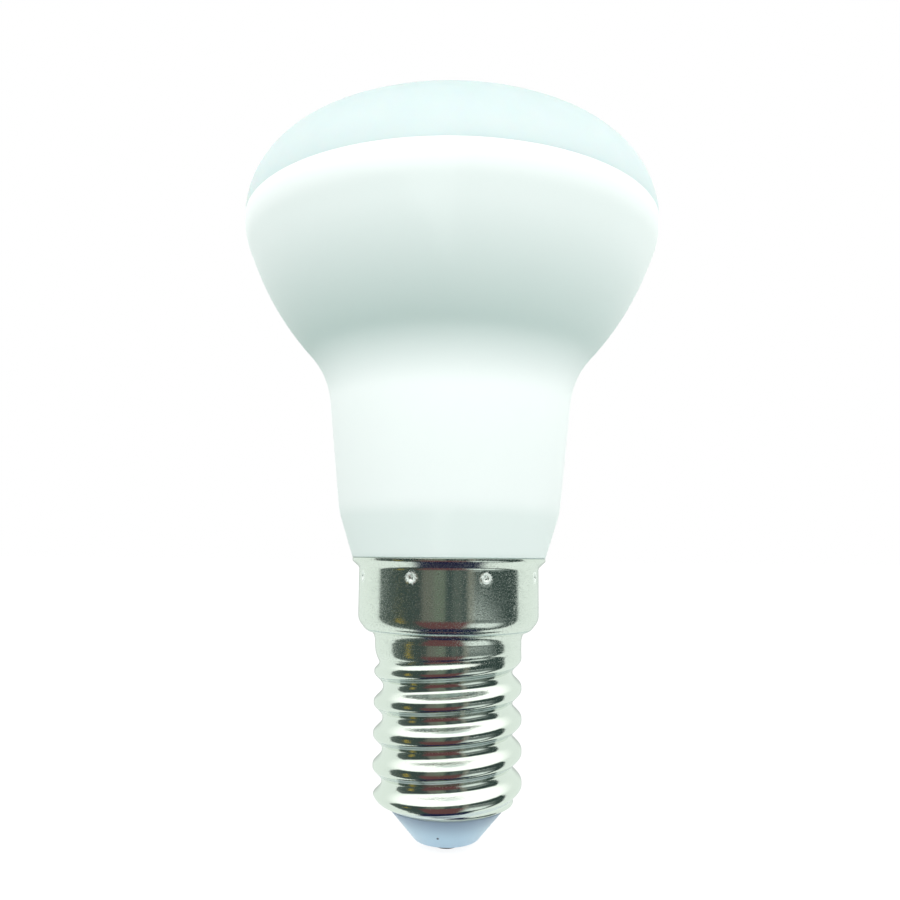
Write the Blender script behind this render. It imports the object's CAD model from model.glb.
# %% [markdown]
# # A small reflector lamp
#
# The lamp is a white moulded housing that opens upwards like a trumpet. A low opal cover closes its top, and
# a nickel-plated screw cap with an insulated contact closes its foot. The pieces and their sizes come from
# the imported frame, in metres, with the lamp's axis on Z and the contact's face at the origin. This script
# gives each piece its rounded edges, its rolled and punched details and its finish, and then lights it.

# %% Load the frame
import math

import bpy
from mathutils import Matrix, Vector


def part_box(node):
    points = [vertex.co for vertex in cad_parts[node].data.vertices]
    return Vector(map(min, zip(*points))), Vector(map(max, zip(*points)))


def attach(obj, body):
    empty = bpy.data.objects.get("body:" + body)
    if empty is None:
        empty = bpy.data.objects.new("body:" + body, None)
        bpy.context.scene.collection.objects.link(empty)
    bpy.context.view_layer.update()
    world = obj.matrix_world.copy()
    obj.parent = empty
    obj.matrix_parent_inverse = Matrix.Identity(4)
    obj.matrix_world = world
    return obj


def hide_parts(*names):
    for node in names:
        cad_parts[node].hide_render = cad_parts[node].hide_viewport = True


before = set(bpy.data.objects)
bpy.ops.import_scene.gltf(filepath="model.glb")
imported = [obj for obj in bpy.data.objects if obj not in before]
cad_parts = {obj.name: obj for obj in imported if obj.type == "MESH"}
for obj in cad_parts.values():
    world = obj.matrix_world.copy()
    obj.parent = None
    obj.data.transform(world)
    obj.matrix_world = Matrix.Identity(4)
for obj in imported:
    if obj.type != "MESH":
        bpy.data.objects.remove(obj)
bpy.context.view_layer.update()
mm = 0.001
print("nodes:", sorted(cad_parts))

# %% [markdown]
# Every piece is turned about one axis, so two numbers say where an edge is: its radius and its height. The
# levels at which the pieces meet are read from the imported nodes, so that this script follows the frame.

# %% Levels and radii that the nodes give
cover_low, cover_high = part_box("diffuser_cover")
housing_low, housing_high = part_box("housing")
shell_low, shell_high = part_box("screw_shell")
insulator_low, insulator_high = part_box("cap_insulator")
_, contact_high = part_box("centre_contact")
apex_z = cover_high.z
seam_z = housing_high.z
rim_z = shell_high.z
head_radius = housing_high.x
rim_radius = shell_high.x
print("seam at", round(seam_z / mm, 2), "mm, cap rim at", round(rim_z / mm, 2), "mm")

# %% [markdown]
# Geometry Nodes and shader nodes both hold formulas as chains of Math nodes, which are long to write and
# hard to read. A small class takes that over: arithmetic on a `Field` adds the Math nodes, so a formula in
# this script looks like the formula on paper.

# %% A shorthand for node formulas
class Field:
    """A number that flows through a node tree. Arithmetic on it adds Math nodes."""

    def __init__(self, tree, socket):
        self.tree = tree
        self.socket = socket

    def math(self, operation, *others):
        node = self.tree.nodes.new("ShaderNodeMath")
        node.operation = operation
        for entry, value in zip(node.inputs, (self, *others)):
            plug(self.tree, entry, value)
        return Field(self.tree, node.outputs[0])

    def __add__(self, other):
        return self.math("ADD", other)

    def __sub__(self, other):
        return self.math("SUBTRACT", other)

    def __rsub__(self, other):
        return self.math("MULTIPLY_ADD", -1, other)

    def __mul__(self, other):
        return self.math("MULTIPLY", other)

    def __truediv__(self, other):
        return self.math("DIVIDE", other)

    def __pow__(self, other):
        return self.math("POWER", other)

    __radd__ = __add__
    __rmul__ = __mul__

    def clamped(self):
        return self.math("MAXIMUM", 0).math("MINIMUM", 1)


def plug(tree, entry, value):
    """Links a field or a socket to a node's input, or sets the input's own value."""
    if isinstance(value, Field):
        value = value.socket
    if isinstance(value, bpy.types.NodeSocket):
        tree.links.new(value, entry)
    else:
        entry.default_value = value


def add(tree, kind, entries=(), **settings):
    """Adds a node, sets its properties, fills the named inputs and returns it."""
    node = tree.nodes.new(kind)
    for name, value in settings.items():
        setattr(node, name, value)
    for name, value in dict(entries).items():
        plug(tree, node.inputs[name], value)
    return node


def split(tree, vector):
    """The three components of a vector, as fields."""
    node = add(tree, "ShaderNodeSeparateXYZ", {"Vector": vector})
    return [Field(tree, socket) for socket in node.outputs]


def join(tree, x, y, z):
    """A vector from three fields or numbers."""
    return add(tree, "ShaderNodeCombineXYZ", {"X": x, "Y": y, "Z": z}).outputs["Vector"]


def ramp(tree, value, low, high):
    """A share from 0 at low to 1 at high, eased at both ends."""
    node = add(
        tree,
        "ShaderNodeMapRange",
        {"Value": value, "From Min": low, "From Max": high},
        interpolation_type="SMOOTHSTEP",
    )
    return Field(tree, node.outputs["Result"])


def between(tree, value, rise, fall):
    """A share that eases in over the rise and out again over the fall."""
    return ramp(tree, value, *rise) * (1 - ramp(tree, value, *fall))


# %% [markdown]
# A Geometry Nodes tree starts with named inputs, so its sizes can be set like those of a machine, and ends
# with Realize Instances and Set Material, so that the result is one plain mesh with its finish. Each tree
# here is one step of the workshop: turn an outline, roll the thread, punch the marks. `work_through` stacks
# such steps as modifiers on an outline, sets their inputs by identifier, and keeps only the finished mesh.

# %% Start, end and run a tree
def start_tree(name, sizes):
    """A new tree whose inputs are a geometry, the named sizes and a material; returns it with its inputs."""
    tree = bpy.data.node_groups.new(name, "GeometryNodeTree")
    tree.interface.new_socket("Geometry", in_out="INPUT", socket_type="NodeSocketGeometry")
    for size in sizes:
        kind = "NodeSocketInt" if size in ("Segments", "Count") else "NodeSocketFloat"
        tree.interface.new_socket(size, in_out="INPUT", socket_type=kind)
    tree.interface.new_socket("Material", in_out="INPUT", socket_type="NodeSocketMaterial")
    tree.interface.new_socket("Geometry", in_out="OUTPUT", socket_type="NodeSocketGeometry")
    start = tree.nodes.new("NodeGroupInput")
    given = {size: Field(tree, start.outputs[size]) for size in sizes}
    given["Geometry"] = start.outputs["Geometry"]
    given["Material"] = start.outputs["Material"]
    return tree, given


def end_tree(tree, geometry, material):
    """Ends a tree with one realized mesh that carries its material."""
    whole = add(tree, "GeometryNodeRealizeInstances", {"Geometry": geometry})
    finished = add(tree, "GeometryNodeSetMaterial", {"Geometry": whole.outputs[0], "Material": material})
    add(tree, "NodeGroupOutput", {"Geometry": finished.outputs[0]})
    return tree


def work_through(name, blank, steps, material):
    """Runs an outline through a row of (tree, sizes) steps and returns a plain mesh object."""
    maker = bpy.data.objects.new(name + "_blank", blank)
    bpy.context.scene.collection.objects.link(maker)
    for tree, sizes in steps:
        modifier = maker.modifiers.new(tree.name, "NODES")
        modifier.node_group = tree
        entries = {item.name: item.identifier for item in tree.interface.items_tree if item.in_out == "INPUT"}
        for size, value in sizes.items():
            modifier[entries[size]] = value
        modifier[entries["Material"]] = material
    graph = bpy.context.evaluated_depsgraph_get()
    mesh = bpy.data.meshes.new_from_object(maker.evaluated_get(graph))
    bpy.data.objects.remove(maker)
    if mesh.materials[0] is None:
        mesh.materials.pop(index=0)
    piece = bpy.data.objects.new(name, mesh)
    bpy.context.scene.collection.objects.link(piece)
    print(name, "has", len(mesh.polygons), "faces and the finish", mesh.materials[0].name)
    return piece


# %% [markdown]
# A lathe needs an outline: half of the section, from the axis at the bottom, out, up and back to the axis.
# Only the corners are written down, as the points of a chain of edges. Each point carries its rounding as an
# attribute, and also how far the rows after it may spread, so that hidden faces stay coarse. Drawn this way
# round, the turned faces point outwards.

# %% Draw an outline
def outline(name, corners):
    """A chain of edges through corners of (radius, height), with a rounding and a row spread if given."""
    chain = bpy.data.meshes.new(name)
    points = [(radius, 0, height) for radius, height, *_ in corners]
    chain.from_pydata(points, [(i, i + 1) for i in range(len(points) - 1)], [])
    for place, (trait, usual) in enumerate((("rounding", 0.0), ("spread", 1.0)), start=2):
        layer = chain.attributes.new(trait, "FLOAT", "POINT")
        for entry, corner in zip(layer.data, corners):
            entry.value = corner[place] if len(corner) > place else usual
    return chain


# %% [markdown]
# The turning step rounds the outline, divides its long runs into rows no longer than the row step, and then
# wraps a grid round the axis: each row of the grid takes the radius and height of one point of the outline.
# Merging by distance closes the seam and the poles. Columns can gather round a number of evenly spaced
# places, which gives small punched details enough vertices without making the whole mesh heavy.

# %% The turning step
def carried(tree, name):
    """The number that each point carries under a name."""
    node = add(tree, "GeometryNodeInputNamedAttribute", {"Name": name}, data_type="FLOAT")
    return Field(tree, node.outputs["Attribute"])


def turning():
    tree, given = start_tree("Turn", ["Segments", "Row step", "Count", "Gather", "First angle"])
    rounding = carried(tree, "rounding")
    chain = add(tree, "GeometryNodeMeshToCurve", {"Mesh": given["Geometry"]})
    arc_steps = ((rounding / mm).math("SQRT") * 4 + 4).math("MINIMUM", 24)
    rounded = add(
        tree,
        "GeometryNodeFilletCurve",
        {"Curve": chain.outputs["Curve"], "Count": arc_steps, "Radius": rounding, "Limit Radius": True},
        mode="POLY",
    )
    position = add(tree, "GeometryNodeInputPosition").outputs["Position"]
    following = Field(tree, add(tree, "GeometryNodeInputIndex").outputs["Index"]) + 1
    ahead = add(
        tree, "GeometryNodeFieldAtIndex", {"Index": following}, domain="POINT", data_type="FLOAT_VECTOR"
    )
    plug(tree, ahead.inputs["Value"], position)
    run = add(tree, "ShaderNodeVectorMath", operation="DISTANCE")
    plug(tree, run.inputs[0], position)
    plug(tree, run.inputs[1], ahead.outputs["Value"])
    row_step = given["Row step"] * carried(tree, "spread")
    cuts = (Field(tree, run.outputs["Value"]) / row_step).math("FLOOR")
    rows = add(tree, "GeometryNodeSubdivideCurve", {"Curve": rounded.outputs["Curve"], "Cuts": cuts})
    size = add(
        tree, "GeometryNodeAttributeDomainSize", {"Geometry": rows.outputs["Curve"]}, component="CURVE"
    )
    row_count = Field(tree, size.outputs["Point Count"])
    grid = add(
        tree,
        "GeometryNodeMeshGrid",
        {"Size X": 1, "Size Y": 1, "Vertices X": given["Segments"] + 1, "Vertices Y": row_count},
    )
    across, along, _ = split(tree, position)
    row = ((along + 0.5) * (row_count - 1)).math("ROUND")
    sample = add(
        tree,
        "GeometryNodeSampleIndex",
        {"Geometry": rows.outputs["Curve"], "Value": position, "Index": row},
        data_type="FLOAT_VECTOR",
        domain="POINT",
    )
    radius, _, height = split(tree, sample.outputs["Value"])
    even = (across + 0.5) * math.tau
    wave = ((even - given["First angle"]) * given["Count"]).math("SINE")
    angle = even - wave * given["Gather"] / given["Count"]
    place = join(tree, radius * angle.math("COSINE"), radius * angle.math("SINE"), height)
    wrapped = add(tree, "GeometryNodeSetPosition", {"Geometry": grid.outputs["Mesh"], "Position": place})
    weld = 0.0005 * mm
    merged = add(
        tree, "GeometryNodeMergeByDistance", {"Geometry": wrapped.outputs["Geometry"], "Distance": weld}
    )
    smooth = add(tree, "GeometryNodeSetShadeSmooth", {"Geometry": merged.outputs["Geometry"]})
    fold = Field(tree, add(tree, "GeometryNodeInputMeshEdgeAngle").outputs["Unsigned Angle"])
    crease_angle = math.radians(40)
    sharp = fold.math("GREATER_THAN", crease_angle)
    creased = add(
        tree,
        "GeometryNodeSetShadeSmooth",
        {"Geometry": smooth.outputs["Geometry"], "Selection": sharp, "Shade Smooth": False},
        domain="EDGE",
    )
    return end_tree(tree, creased.outputs["Geometry"], given["Material"])


turn = turning()
print("turning step:", len(turn.nodes), "nodes")

# %% [markdown]
# The thread of such a cap is rolled into thin sheet between two wheels, so its crests and roots are round and
# its section is a wave. Rolling is done on the turned mesh: each point of the barrel finds its distance along
# the axis from the nearest root of the helix and takes the radius of the wave there. In its last turn the
# groove rises out of the sheet. Its lower flank shortens to a shelf, and above it the sheet comes back to the
# neck, with a long taper at first and a tight bend near the groove's end, instead of forming another crest.

# %% The rolling step
def rolling():
    sizes = ["Crest radius", "Depth", "Pitch", "Top", "Fade turns", "Shoulder", "Blend"]
    tree, given = start_tree("Roll", sizes)
    position = add(tree, "GeometryNodeInputPosition").outputs["Position"]
    x, y, z = split(tree, position)
    radius = (x * x + y * y).math("SQRT")
    turns = (y.math("ARCTAN2", x) / math.tau).math("FRACT")
    lead = (z - given["Top"]) / given["Pitch"] - turns
    last_root = (given["Fade turns"] - turns).math("CEIL") - 1
    root = lead.math("ROUND").math("MINIMUM", last_root)
    above = (lead - root) * given["Pitch"]
    half = given["Pitch"] / 2
    along = root + turns
    fade = (along / given["Fade turns"]).clamped()
    fade_bend = 0.8
    depth = given["Depth"] * (1 - fade) ** fade_bend
    ending = ramp(tree, along, 0, 0.4)
    shelf_loss = 0.4
    shelf = half * (1 - ending * shelf_loss)
    past_root = above + half - shelf
    flat = 0.07
    lower = 1 - ramp(tree, past_root / shelf + 1, flat, 1 - flat)
    neck = given["Shoulder"] - given["Top"] - along * given["Pitch"]
    reach = (past_root / (half + (neck - shelf) * ending)).clamped()
    tightness = ramp(tree, along, 0.45, 0.8) * 6 + 2
    taper = 1 - (1 - reach) ** tightness
    rounded = ramp(tree, reach, flat, 1 - flat)
    upper = rounded + (taper - rounded) * ending
    raised = lower + (upper - lower) * past_root.math("GREATER_THAN", 0)
    rolled = given["Crest radius"] - depth * (1 - raised)
    pressed = radius.math("SMOOTH_MIN", rolled, given["Blend"])
    scale = pressed / radius
    place = join(tree, x * scale, y * scale, z)
    barrel = radius.math("LESS_THAN", given["Crest radius"] + given["Blend"] / 2)
    below = z.math("LESS_THAN", given["Shoulder"])
    moved = add(
        tree,
        "GeometryNodeSetPosition",
        {"Geometry": given["Geometry"], "Selection": barrel * below, "Position": place},
    )
    return end_tree(tree, moved.outputs["Geometry"], given["Material"])


roll = rolling()
print("rolling step:", len(roll.nodes), "nodes")

# %% [markdown]
# The skirt is crimped onto the housing with a ring of punch marks. A mark is a shallow cup, and the sheet
# that the punch pushes aside stands up round it as a low burr. All marks come from one formula: the angle is
# folded into one share of the circle, so every point of the skirt only knows the mark that is nearest to it.
# The punch also scrapes the plate, and the step stores how much as an attribute that the finish reads.

# %% The punching step
def punching():
    mark_sizes = ["Width", "Depth", "Burr width", "Burr height"]
    tree, given = start_tree("Punch", ["Count", "First angle", "Height", "Skirt radius", *mark_sizes])
    x, y, z = split(tree, add(tree, "GeometryNodeInputPosition").outputs["Position"])
    radius = (x * x + y * y).math("SQRT")
    share = (y.math("ARCTAN2", x) - given["First angle"]) / math.tau * given["Count"]
    folded = share - share.math("ROUND")
    across = folded / given["Count"] * math.tau * given["Skirt radius"]
    along = z - given["Height"]
    distance = (across * across + along * along).math("SQRT")
    edge = given["Width"] / 2
    cup = (1 - (distance / edge) ** 2).math("MAXIMUM", 0) * given["Depth"]
    beyond = (distance - edge) / given["Burr width"]
    burr = (beyond * beyond * -1).math("EXPONENT") * given["Burr height"]
    scale = (radius - cup + burr) / radius
    place = join(tree, x * scale, y * scale, z)
    skirt = radius.math("GREATER_THAN", given["Skirt radius"] - given["Depth"] * 2)
    near = along.math("ABSOLUTE").math("LESS_THAN", given["Width"] + given["Burr width"])
    inside = distance.math("LESS_THAN", edge)
    scrape = (beyond * beyond * -0.5).math("EXPONENT").math("MAXIMUM", inside * 0.5)
    marked = add(
        tree,
        "GeometryNodeStoreNamedAttribute",
        {"Geometry": given["Geometry"], "Name": "scrape", "Value": scrape * skirt * near},
        data_type="FLOAT",
        domain="POINT",
    )
    moved = add(
        tree,
        "GeometryNodeSetPosition",
        {"Geometry": marked.outputs["Geometry"], "Selection": skirt * near, "Position": place},
    )
    return end_tree(tree, moved.outputs["Geometry"], given["Material"])


punch = punching()
print("punching step:", len(punch.nodes), "nodes")

# %% [markdown]
# A finish is a Principled shader whose colour, gloss and surface vary a little, as real ones do. Patterns are
# read from Object coordinates, which here are metres in the lamp's own frame, so a noise of a given size in
# millimetres is that size on every piece.

# %% Helpers for finishes
def new_finish(name, **values):
    """A material with a Principled shader; values that are the same all over are set on its sockets."""
    material = bpy.data.materials.new(name)
    material.use_nodes = True
    tree = material.node_tree
    shader = tree.nodes["Principled BSDF"]
    for entry, value in values.items():
        shader.inputs[entry.replace("_", " ")].default_value = value
    place = add(tree, "ShaderNodeTexCoord").outputs["Object"]
    return material, tree, shader, place


def noise(tree, place, size, detail=2.0):
    """Noise with features of about the given size in metres, from 0 to 1."""
    node = add(tree, "ShaderNodeTexNoise", {"Vector": place, "Scale": 1 / size, "Detail": detail})
    return Field(tree, node.outputs["Fac"])


def blend_colours(tree, share, first, second):
    """A colour that goes from the first to the second as the share goes from 0 to 1."""
    node = add(tree, "ShaderNodeMix", data_type="RGBA", clamp_factor=True)
    plug(tree, node.inputs["Factor"], share)
    for entry, value in zip([s for s in node.inputs if s.type == "RGBA"], (first, second)):
        plug(tree, entry, value if isinstance(value, bpy.types.NodeSocket) else (*value, 1))
    return next(socket for socket in node.outputs if socket.type == "RGBA")


def roughen(tree, shader, height, depth):
    """Bump of the given depth in metres on the shader's normal."""
    bump = add(tree, "ShaderNodeBump", {"Height": height, "Strength": 1.0, "Distance": depth})
    plug(tree, shader.inputs["Normal"], bump.outputs["Normal"])


# %% [markdown]
# The cover is opal polycarbonate. It has a faint cyan cast that deepens towards the top, where the light goes
# through more of it, and a satin skin without sharp highlights.

# %% Opal cover finish
def opal_finish():
    material, tree, shader, place = new_finish(
        "opal_polycarbonate", Subsurface_Weight=0.15, Subsurface_Scale=1.5 * mm
    )
    _, _, z = split(tree, place)
    towards_top = ramp(tree, z, seam_z, apex_z)
    cloud = noise(tree, place, 3 * mm)
    skin = noise(tree, place, 0.12 * mm)
    colour = blend_colours(tree, towards_top * 0.8 + cloud * 0.2, (0.66, 0.73, 0.735), (0.475, 0.62, 0.615))
    plug(tree, shader.inputs["Base Color"], colour)
    plug(tree, shader.inputs["Roughness"], cloud * 0.12 + 0.42)
    roughen(tree, shader, skin, 0.001 * mm)
    return material


opal = opal_finish()
print("finish:", opal.name)

# %% [markdown]
# The housing is white moulded plastic with a fine matt grain. Its white leans very slightly to green, and its
# foot, next to the cap, is a touch whiter.

# %% White housing finish
def white_finish():
    material, tree, shader, place = new_finish("white_moulding")
    cloud = noise(tree, place, 5 * mm)
    grain = noise(tree, place, 0.15 * mm, 3)
    _, _, z = split(tree, place)
    foot = 1 - ramp(tree, z, rim_z + 3.2 * mm, rim_z + 5.2 * mm)
    moulded = blend_colours(tree, cloud, (0.935, 0.94, 0.938), (0.948, 0.947, 0.946))
    plug(tree, shader.inputs["Base Color"], blend_colours(tree, foot, moulded, (0.99, 0.99, 0.985)))
    plug(tree, shader.inputs["Roughness"], grain * 0.15 + 0.5)
    roughen(tree, shader, grain, 0.0015 * mm)
    return material


white = white_finish()
print("finish:", white.name)

# %% [markdown]
# The cap is steel sheet with a bright nickel plate, slightly warm and green, not blue like chrome. The plate
# is a mirror whose gloss changes from grain to grain, so dark reflections sparkle with small bright points.
# Rolling has burnished the thread, so it is smoother than the skirt. Where the sheet was worked hardest the
# plate is scraped to a dull, pale skin: round the punch marks, in the fold under the skirt, and in a pair of
# thin lines under each crest.

# %% Nickel plate finish
thread_pitch = 2.822 * mm
thread_start = rim_z - 10.48 * mm
fold_z = rim_z - 6.56 * mm
fold_radius = 7.2 * mm


def nickel_finish():
    material, tree, shader, place = new_finish("nickel_plate", Metallic=1.0)
    grain = noise(tree, place, 0.085 * mm, 2)
    cloud = noise(tree, place, 2.5 * mm, 3)
    mottle = noise(tree, place, 0.16 * mm, 1)
    scrape = Field(tree, add(tree, "ShaderNodeAttribute", attribute_name="scrape").outputs["Fac"])
    bare = (scrape * 1.6 - ramp(tree, mottle, 0.35, 0.6) * 0.8).clamped()
    x, y, z = split(tree, place)
    unrolled = ramp(tree, z, rim_z - 10 * mm, rim_z - 8 * mm)
    fold = 1 - ramp(tree, (z - fold_z).math("ABSOLUTE"), 0.04 * mm, 0.09 * mm)
    fold = fold * (x * x + y * y).math("GREATER_THAN", fold_radius**2)
    lead = (z - thread_start) / thread_pitch - (y.math("ARCTAN2", x) / math.tau).math("FRACT")
    mid_flank = 0.25
    line_offset = 0.035
    off_flank = (lead - lead.math("ROUND") - mid_flank).math("ABSOLUTE")
    off_line = (off_flank - line_offset).math("ABSOLUTE")
    pinch = (1 - ramp(tree, off_line, 0.018, 0.034)) * (1 - unrolled)
    bare = bare.math("MAXIMUM", fold.math("MAXIMUM", pinch) * ramp(tree, cloud, 0.2, 0.5))
    plate = blend_colours(tree, cloud, (0.88, 0.91, 0.86), (0.83, 0.86, 0.81))
    plug(tree, shader.inputs["Base Color"], blend_colours(tree, bare, plate, (0.93, 0.95, 0.91)))
    plug(tree, shader.inputs["Metallic"], 1 - bare * 0.8)
    polish = 0.04
    dulling = unrolled * 0.24 + 0.2
    plug(tree, shader.inputs["Roughness"], ramp(tree, grain, 0.43, 0.69) * dulling + polish)
    roughen(tree, shader, grain, 0.003 * mm)
    return material


nickel = nickel_finish()
print("finish:", nickel.name)

# %% [markdown]
# The insulator is a satin grey-blue moulding with one dark speck near its lower edge. It is dirtier towards
# the shell, whose lip draws a thin pale line on it. The contact is dull, tinned brass with a tarnished edge.

# %% Insulator and contact finishes
def insulator_finish():
    material, tree, shader, place = new_finish("grey_blue_moulding", Sheen_Weight=0.5, Sheen_Roughness=0.35)
    cloud = noise(tree, place, 1.2 * mm)
    grain = noise(tree, place, 0.1 * mm)
    x, y, z = split(tree, place)
    moulded = blend_colours(tree, cloud, (0.69, 0.835, 0.895), (0.73, 0.875, 0.925))
    soiled = blend_colours(tree, ramp(tree, z, 1.4 * mm, 4.0 * mm), moulded, (0.36, 0.41, 0.50))
    lip_line = ramp(tree, z, 3.58 * mm, 3.66 * mm)
    lined = blend_colours(tree, lip_line, soiled, (0.88, 0.91, 0.80))
    speck_x = -0.75 * mm
    speck_z = 1.7 * mm
    from_speck = ((x - speck_x) ** 2 + (z - speck_z) ** 2).math("SQRT")
    speck = (1 - ramp(tree, from_speck, 0.06 * mm, 0.14 * mm)) * y.math("LESS_THAN", 0)
    plug(tree, shader.inputs["Base Color"], blend_colours(tree, speck, lined, (0.05, 0.05, 0.07)))
    plug(tree, shader.inputs["Roughness"], grain * 0.15 + 0.38)
    roughen(tree, shader, grain, 0.001 * mm)
    return material


def contact_finish():
    material, tree, shader, place = new_finish("dull_contact_metal", Metallic=1.0)
    stain = noise(tree, place, 0.8 * mm, 4)
    colour = blend_colours(tree, stain, (0.20, 0.19, 0.18), (0.42, 0.38, 0.31))
    x, y, _ = split(tree, place)
    tarnish = ramp(tree, (x * x + y * y).math("SQRT"), 0.98 * mm, 1.06 * mm)
    plug(tree, shader.inputs["Base Color"], blend_colours(tree, tarnish, colour, (0.02, 0.02, 0.025)))
    plug(tree, shader.inputs["Roughness"], stain * 0.3 + 0.3)
    roughen(tree, shader, stain, 0.004 * mm)
    return material


grey_blue = insulator_finish()
contact_metal = contact_finish()
print("finishes:", grey_blue.name, contact_metal.name)

# %% [markdown]
# The cover's outline is two arcs: a wide crown and a rounded shoulder that ends upright at the seam. As
# corners, they are the places where the arcs' tangents cross, and each corner's rounding is its arc's radius.

# %% Turn the cover
crown_radius = 42 * mm
seat_width = 1.5 * mm
cover_radius = cover_high.x
cover_height = apex_z - seam_z
shoulder_arc = (2 * cover_height * crown_radius - cover_radius**2 - cover_height**2) / (
    2 * (crown_radius - cover_radius)
)
crown_z = apex_z - crown_radius
shoulder_turn = math.atan2(seam_z - crown_z, cover_radius - shoulder_arc)
crown_turn = math.pi / 2 - shoulder_turn
plug_radius = head_radius - seat_width
plain_turning = {"Segments": 192, "Row step": 0.4 * mm, "Count": 1, "Gather": 0.0, "First angle": 0.0}
cover = work_through(
    "opal_cover",
    outline(
        "cover_outline",
        [
            (0, cover_low.z),
            (plug_radius, cover_low.z),
            (plug_radius, seam_z),
            (cover_radius, seam_z, 0.02 * mm),
            (cover_radius, seam_z + shoulder_arc * math.tan(shoulder_turn / 2), shoulder_arc),
            (crown_radius * math.tan(crown_turn / 2), apex_z, crown_radius),
            (0, apex_z),
        ],
    ),
    [(turn, plain_turning)],
    opal,
)

# %% [markdown]
# The housing is a short foot that flares from the cap's rim, a drafted neck, a cone and a rounded shoulder
# below the seam. Its spigot goes down into the cap, and its top is recessed for the cover. The large bends
# are shares of how far the housing widens from its foot to its head.

# %% Turn the housing
foot_height = 4.3 * mm
foot_radius = 10.5 * mm
neck_slope = math.tan(math.radians(6))
cone_slope = math.tan(math.radians(42))
belly_angle = math.radians(22)
widening = head_radius - foot_radius
neck_fillet = 0.88 * widening
cone_radius = 2.8 * widening
shoulder_radius = 0.756 * widening
belly_fall = 0.725 * widening
belt_height = 0.15 * mm
spigot_radius = 8.15 * mm
recess_radius = plug_radius + 0.05 * mm
recess_z = cover_low.z - 0.1 * mm
foot_z = rim_z + foot_height
belt_z = seam_z - belt_height - shoulder_radius * math.tan(belly_angle / 2)
belly_z = belt_z - belly_fall
belly_radius = head_radius - belly_fall * math.tan(belly_angle)
neck_base = foot_radius - neck_slope * foot_z
cone_base = belly_radius - cone_slope * belly_z
neck_z = (neck_base - cone_base) / (cone_slope - neck_slope)
housing = work_through(
    "white_housing",
    outline(
        "housing_outline",
        [
            (0, housing_low.z),
            (spigot_radius, housing_low.z),
            (spigot_radius, rim_z),
            (rim_radius, rim_z, 0.12 * mm),
            (foot_radius, foot_z, 7 * mm),
            (neck_base + neck_slope * neck_z, neck_z, neck_fillet),
            (belly_radius, belly_z, cone_radius),
            (head_radius, belt_z, shoulder_radius),
            (cover_radius, seam_z, 0.02 * mm),
            (recess_radius, seam_z),
            (recess_radius, recess_z),
            (0, recess_z),
        ],
    ),
    [(turn, plain_turning)],
    white,
)

# %% [markdown]
# The cap shell is one closed outline: from the turned-in lip up the barrel, through the S-shaped shoulder to
# the skirt and the flared rim, and back down inside, where coarse rows will do. After turning, its thread is
# rolled and its skirt is punched.

# %% Turn, roll and punch the cap shell
sheet = 0.3 * mm
skirt_radius = 8.5 * mm
skirt_corner_z = rim_z - 6.22 * mm
skirt_round = 1.4 * mm
neck_corner_z = rim_z - 6.83 * mm
neck_round = 1.1 * mm
neck_top_z = rim_z - 7.5 * mm
flare_height = 0.9 * mm
rim_land = 0.3 * mm
thread_radius = 6.9 * mm
thread_depth = 0.85 * mm
fade_turns = 1.0
mouth_radius = 5.4 * mm
lip_z = insulator_high.z - 1.25 * mm
bore_radius = thread_radius - thread_depth - sheet
shoulder_z = rim_z - 7.15 * mm
mark_count = 8
first_mark = math.radians(22.5)
mark_drop = 1.7 * mm
inner_spread = 8
start = (mouth_radius, lip_z)
shell = work_through(
    "nickel_shell",
    outline(
        "shell_outline",
        [
            start,
            (mouth_radius, shell_low.z, 0.12 * mm),
            (thread_radius, shell_low.z, 1.35 * mm),
            (thread_radius, neck_corner_z, neck_round),
            (skirt_radius, skirt_corner_z, skirt_round),
            (skirt_radius, rim_z - flare_height, 0.4 * mm),
            (rim_radius, rim_z - rim_land, 0.25 * mm),
            (rim_radius, rim_z, 0.08 * mm),
            (rim_radius - sheet, rim_z, 0.08 * mm),
            (rim_radius - sheet, rim_z - rim_land, 0, inner_spread),
            (skirt_radius - sheet, rim_z - flare_height, 0, inner_spread),
            (skirt_radius - sheet, shoulder_z + sheet, skirt_round - sheet, inner_spread),
            (bore_radius, shoulder_z + sheet, 0, inner_spread),
            (bore_radius, lip_z, 0, inner_spread),
            start,
        ],
    ),
    [
        (
            turn,
            {
                "Segments": 288,
                "Row step": 0.12 * mm,
                "Count": mark_count,
                "Gather": 0.6,
                "First angle": first_mark,
            },
        ),
        (
            roll,
            {
                "Crest radius": thread_radius,
                "Depth": thread_depth,
                "Pitch": thread_pitch,
                "Top": thread_start,
                "Fade turns": fade_turns,
                "Shoulder": neck_top_z,
                "Blend": 0.12 * mm,
            },
        ),
        (
            punch,
            {
                "Count": mark_count,
                "First angle": first_mark,
                "Height": rim_z - mark_drop,
                "Skirt radius": skirt_radius,
                "Width": 0.72 * mm,
                "Depth": 0.1 * mm,
                "Burr width": 0.13 * mm,
                "Burr height": 0.06 * mm,
            },
        ),
    ],
    nickel,
)

# %% [markdown]
# The insulator is a cone under the lip, with a seat for the contact, whose flat head stands a little proud
# so that its edge shows as a thin dark line.

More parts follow.
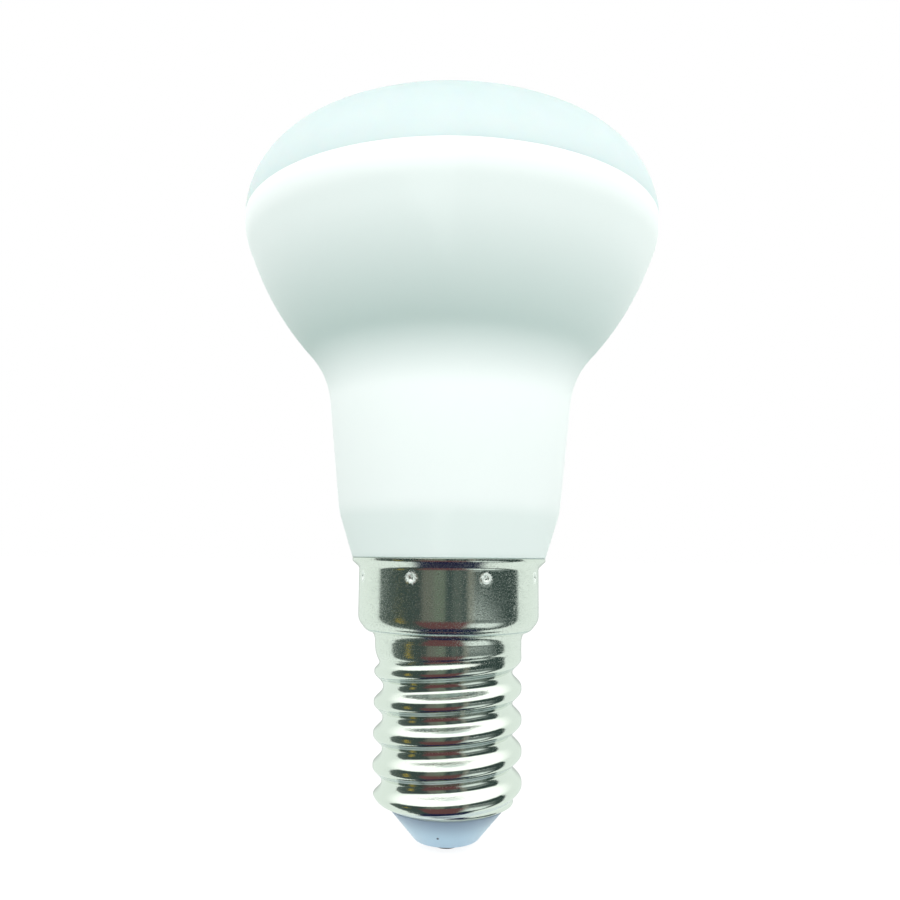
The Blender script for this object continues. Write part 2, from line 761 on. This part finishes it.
# %% Turn the insulator and the contact
insulator_radius = 2.9 * mm
insulator_face_z = insulator_low.z + 0.08 * mm
gate_radius = 5.35 * mm
gate_z = 3.5 * mm
contact_radius = contact_high.x
contact_thickness = 1.0 * mm
shank_radius = 0.5 * mm
seat_radius = contact_radius + 0.05 * mm
insulator = work_through(
    "grey_insulator",
    outline(
        "insulator_outline",
        [
            (0, contact_thickness),
            (seat_radius, contact_thickness),
            (seat_radius, insulator_face_z, 0.05 * mm),
            (insulator_radius, insulator_face_z, 0.45 * mm),
            (gate_radius, gate_z),
            (gate_radius, lip_z),
            (insulator_high.x, lip_z),
            (insulator_high.x, insulator_high.z),
            (0, insulator_high.z),
        ],
    ),
    [(turn, plain_turning)],
    grey_blue,
)
contact = work_through(
    "end_contact",
    outline(
        "contact_outline",
        [
            (0, 0),
            (contact_radius, 0, 0.04 * mm),
            (contact_radius, contact_thickness),
            (shank_radius, contact_thickness),
            (shank_radius, contact_high.z),
            (0, contact_high.z),
        ],
    ),
    [(turn, plain_turning)],
    contact_metal,
)

# %% [markdown]
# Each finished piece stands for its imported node, rides on the lamp's one body and names its material slot.

# %% Tie the pieces to the frame
for piece, node, slot in (
    (cover, "diffuser_cover", "opal_cover"),
    (housing, "housing", "white_housing"),
    (shell, "screw_shell", "nickel_shell"),
    (insulator, "cap_insulator", "grey_insulator"),
    (contact, "centre_contact", "contact_metal"),
):
    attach(piece, "root")
    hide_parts(node)
    print(piece.name, "stands for", node)

# %% [markdown]
# Small lamps like this are photographed in a white tent with a dark room in front of it. Camera rays see
# plain white. Mirror-like metal sees white cloth at the sides, above and at the back, and the dark room
# between the cloth's edges, which draws the dark panel with crisp edges on the cap. The room is banded from
# left to right, plum lower down and navy at the very bottom. Gilt spots on the left and a pale card low on
# the right give the metal its small lights. Matt plastic gets a low, even light from the world, and the
# softboxes do the rest.

# %% The tent
def tent():
    world = bpy.data.worlds.new("tent")
    bpy.context.scene.world = world
    world.use_nodes = True
    world.cycles.sampling_method = "NONE"
    tree = world.node_tree
    background = tree.nodes["Background"]
    direction = add(tree, "ShaderNodeTexCoord").outputs["Generated"]
    x, y, z = split(tree, direction)
    bearing = x.math("ARCTAN2", y * -1) * (180 / math.pi)
    elevation = z.math("ARCSINE") * (180 / math.pi)
    span = 200
    bands = add(tree, "ShaderNodeValToRGB")
    plug(tree, bands.inputs["Fac"], bearing / span + 0.5)
    stops = [
        (-100, (0.12, 0.15, 0.135)),
        (-70, (0.052, 0.076, 0.068)),
        (-35, (0.044, 0.066, 0.06)),
        (-31, (0.14, 0.15, 0.125)),
        (-19, (0.14, 0.16, 0.13)),
        (-16, (0.15, 0.19, 0.145)),
        (-5, (0.145, 0.185, 0.14)),
        (-3, (0.042, 0.068, 0.064)),
        (4, (0.042, 0.068, 0.064)),
        (6, (0.09, 0.12, 0.105)),
        (15, (0.085, 0.115, 0.10)),
        (17, (0.05, 0.076, 0.072)),
        (22, (0.055, 0.082, 0.076)),
        (24, (0.20, 0.21, 0.17)),
        (30, (0.19, 0.20, 0.165)),
        (33, (0.042, 0.066, 0.06)),
        (90, (0.038, 0.06, 0.054)),
    ]
    elements = bands.color_ramp.elements
    while len(elements) < len(stops):
        elements.new(0.5)
    for element, (degrees, colour) in zip(elements, stops):
        element.position = degrees / span + 0.5
        element.color = (*colour, 1)
    plum = (0.13, 0.06, 0.06)
    navy = (0.012, 0.016, 0.05)
    gold = (0.62, 0.46, 0.06)
    pale = (0.80, 0.90, 0.85)
    front = between(tree, bearing, (-46, -38), (23, 28))
    room = blend_colours(tree, front * (1 - ramp(tree, elevation, -20, -9)), bands.outputs["Color"], plum)
    spots = add(tree, "ShaderNodeTexNoise", {"Vector": direction, "Scale": 42, "Detail": 1})
    gilt = between(tree, bearing, (-72, -67), (-61, -56)) * between(tree, elevation, (-34, -24), (-8, -4))
    room = blend_colours(tree, gilt * ramp(tree, spots.outputs["Fac"], 0.47, 0.61), room, gold)
    edge = (bearing - 27) * -0.05 - 2.2
    card = between(tree, bearing, (20, 40), (64, 84))
    card = card * between(tree, elevation, (-58, -46), (edge - 1.5, edge))
    hollow = between(tree, elevation, (-26, -18), (-6, -4.8))
    room = blend_colours(tree, card * (1 - hollow * 0.85) * 0.95, room, pale)
    room = blend_colours(tree, ramp(tree, elevation, -70, -62), navy, room)
    ahead = 1 - ramp(tree, bearing.math("ABSOLUTE"), 94, 98)
    below = 1 - ramp(tree, elevation, -72, -64)
    above = ramp(tree, elevation, 31, 37)
    dark = (ahead * (1 - above)).math("MAXIMUM", below)
    dim = 1 - ramp(tree, bearing.math("ABSOLUTE"), 150, 175) * ramp(tree, elevation, -25, -5) * 0.5
    cloth = blend_colours(tree, dim, (0.0, 0.0, 0.0), (0.81, 0.90, 0.84))
    cloth = blend_colours(tree, ramp(tree, elevation, 25, 50), cloth, (1.3, 1.35, 1.3))
    seen = blend_colours(tree, dark, cloth, room)
    path = add(tree, "ShaderNodeLightPath")
    soft = blend_colours(tree, path.outputs["Is Glossy Ray"], (0.03, 0.04, 0.036), seen)
    plain = Field(tree, path.outputs["Is Camera Ray"]).math("MAXIMUM", path.outputs["Is Transmission Ray"])
    plug(tree, background.inputs["Color"], blend_colours(tree, plain, soft, (1.0, 1.0, 1.0)))
    print("world:", world.name, "with", len(tree.nodes), "nodes")


tent()

# %% [markdown]
# A close ring of softboxes a little above the lamp lights the plastic from all round, strongest from the
# front and with less at the sides, so that the outline stays visible. The boxes are kept out of the metal's
# reflections, which the tent already gives.

# %% The softboxes
ring_distance = 0.19
ring_elevation = math.radians(25)
box_side = 0.145
box_count = 8
box_power = 0.147
front_gain = 0.25
right_gain = 0.02
side_loss = 0.13
ring_radius = ring_distance * math.cos(ring_elevation)
ring_z = seam_z / 2 + ring_distance * math.sin(ring_elevation)
for index in range(box_count):
    around = math.radians(360 / box_count * (index + 0.5))
    light = bpy.data.lights.new(f"softbox_{index + 1}", "AREA")
    light.shape = "SQUARE"
    light.size = box_side
    gain = 1 + front_gain * math.cos(around) + right_gain * math.sin(around)
    light.energy = box_power * (gain - side_loss * math.sin(around) ** 2)
    softbox = bpy.data.objects.new(light.name, light)
    softbox.location = (ring_radius * math.sin(around), -ring_radius * math.cos(around), ring_z)
    softbox.rotation_euler = (math.pi / 2 - ring_elevation, 0, around)
    softbox.visible_camera = False
    softbox.visible_glossy = False
    bpy.context.scene.collection.objects.link(softbox)

# %% [markdown]
# The floor is pale. To the camera it is nearly white by itself, with a share of real shading that keeps the
# lamp's shadow. To the soft light that bounces about it is darker and a little green, so the underside of the
# head falls off as it does over a small table. Next to the lamp and at its sides it bounces more.

# %% The floor
def floor():
    side = 6.0
    mesh = bpy.data.meshes.new("floor")
    corners = [(-side, -side, 0), (side, -side, 0), (side, side, 0), (-side, side, 0)]
    mesh.from_pydata(corners, [], [(0, 1, 2, 3)])
    sheet_of_paper = bpy.data.objects.new("floor", mesh)
    bpy.context.scene.collection.objects.link(sheet_of_paper)
    material = bpy.data.materials.new("pale_paper")
    material.use_nodes = True
    tree = material.node_tree
    tree.nodes.remove(tree.nodes["Principled BSDF"])
    path = add(tree, "ShaderNodeLightPath")
    bounced = Field(tree, path.outputs["Is Diffuse Ray"])
    x, y, _ = split(tree, add(tree, "ShaderNodeTexCoord").outputs["Object"])
    distance = (x * x + y * y).math("SQRT")
    far = ramp(tree, distance, 20 * mm, 110 * mm)
    near = 1 - ramp(tree, distance, 5 * mm, 26 * mm)
    beside = ramp(tree, x, 15 * mm, 70 * mm) + ramp(tree, x * -1, 15 * mm, 70 * mm) * 0.4
    beside = beside * ramp(tree, y, -40 * mm, 20 * mm)
    table = blend_colours(tree, beside, (0.03, 0.17, 0.125), (0.56, 0.70, 0.66))
    bounce = blend_colours(tree, near, table, (0.44, 0.53, 0.64))
    colour = blend_colours(tree, bounced, (0.9, 0.9, 0.9), bounce)
    shaded = add(tree, "ShaderNodeBsdfDiffuse", {"Color": colour})
    glow = add(tree, "ShaderNodeEmission", {"Color": (1, 1, 1, 1), "Strength": 1.085})
    shadow_share = 0.2
    mixed = add(tree, "ShaderNodeMixShader", {"Fac": ((1 - far) * shadow_share).math("MAXIMUM", bounced)})
    plug(tree, mixed.inputs[1], glow.outputs["Emission"])
    plug(tree, mixed.inputs[2], shaded.outputs["BSDF"])
    plug(tree, tree.nodes["Material Output"].inputs["Surface"], mixed.outputs["Shader"])
    mesh.materials.append(material)
    sheet_of_paper.visible_glossy = False
    print("floor:", material.name, "with", len(tree.nodes), "nodes")


floor()

# %% [markdown]
# The camera stands close, level with the cap's rim, and looks slightly up, so that the rim is a straight line
# and the seam is an arch. A small roll gives the lamp the same lean as in the photograph.

# %% The camera and the view
camera_data = bpy.data.cameras.new("camera")
camera_data.lens = 33.6
camera_data.sensor_width = 36
camera_data.clip_start = 0.001
camera = bpy.data.objects.new("camera", camera_data)
bpy.context.scene.collection.objects.link(camera)
camera_distance = 80.9 * mm
pitch = math.radians(7.33)
roll_angle = math.radians(0.55)
camera.rotation_mode = "XYZ"
camera.location = (0, -camera_distance, rim_z)
look = Matrix.Rotation(math.pi / 2 + pitch, 3, "X") @ Matrix.Rotation(roll_angle, 3, "Z")
camera.rotation_euler = look.to_euler()
bpy.context.scene.camera = camera
bpy.context.scene.view_settings.view_transform = "Standard"
print("camera at", [round(value / mm, 1) for value in camera.location], "mm")
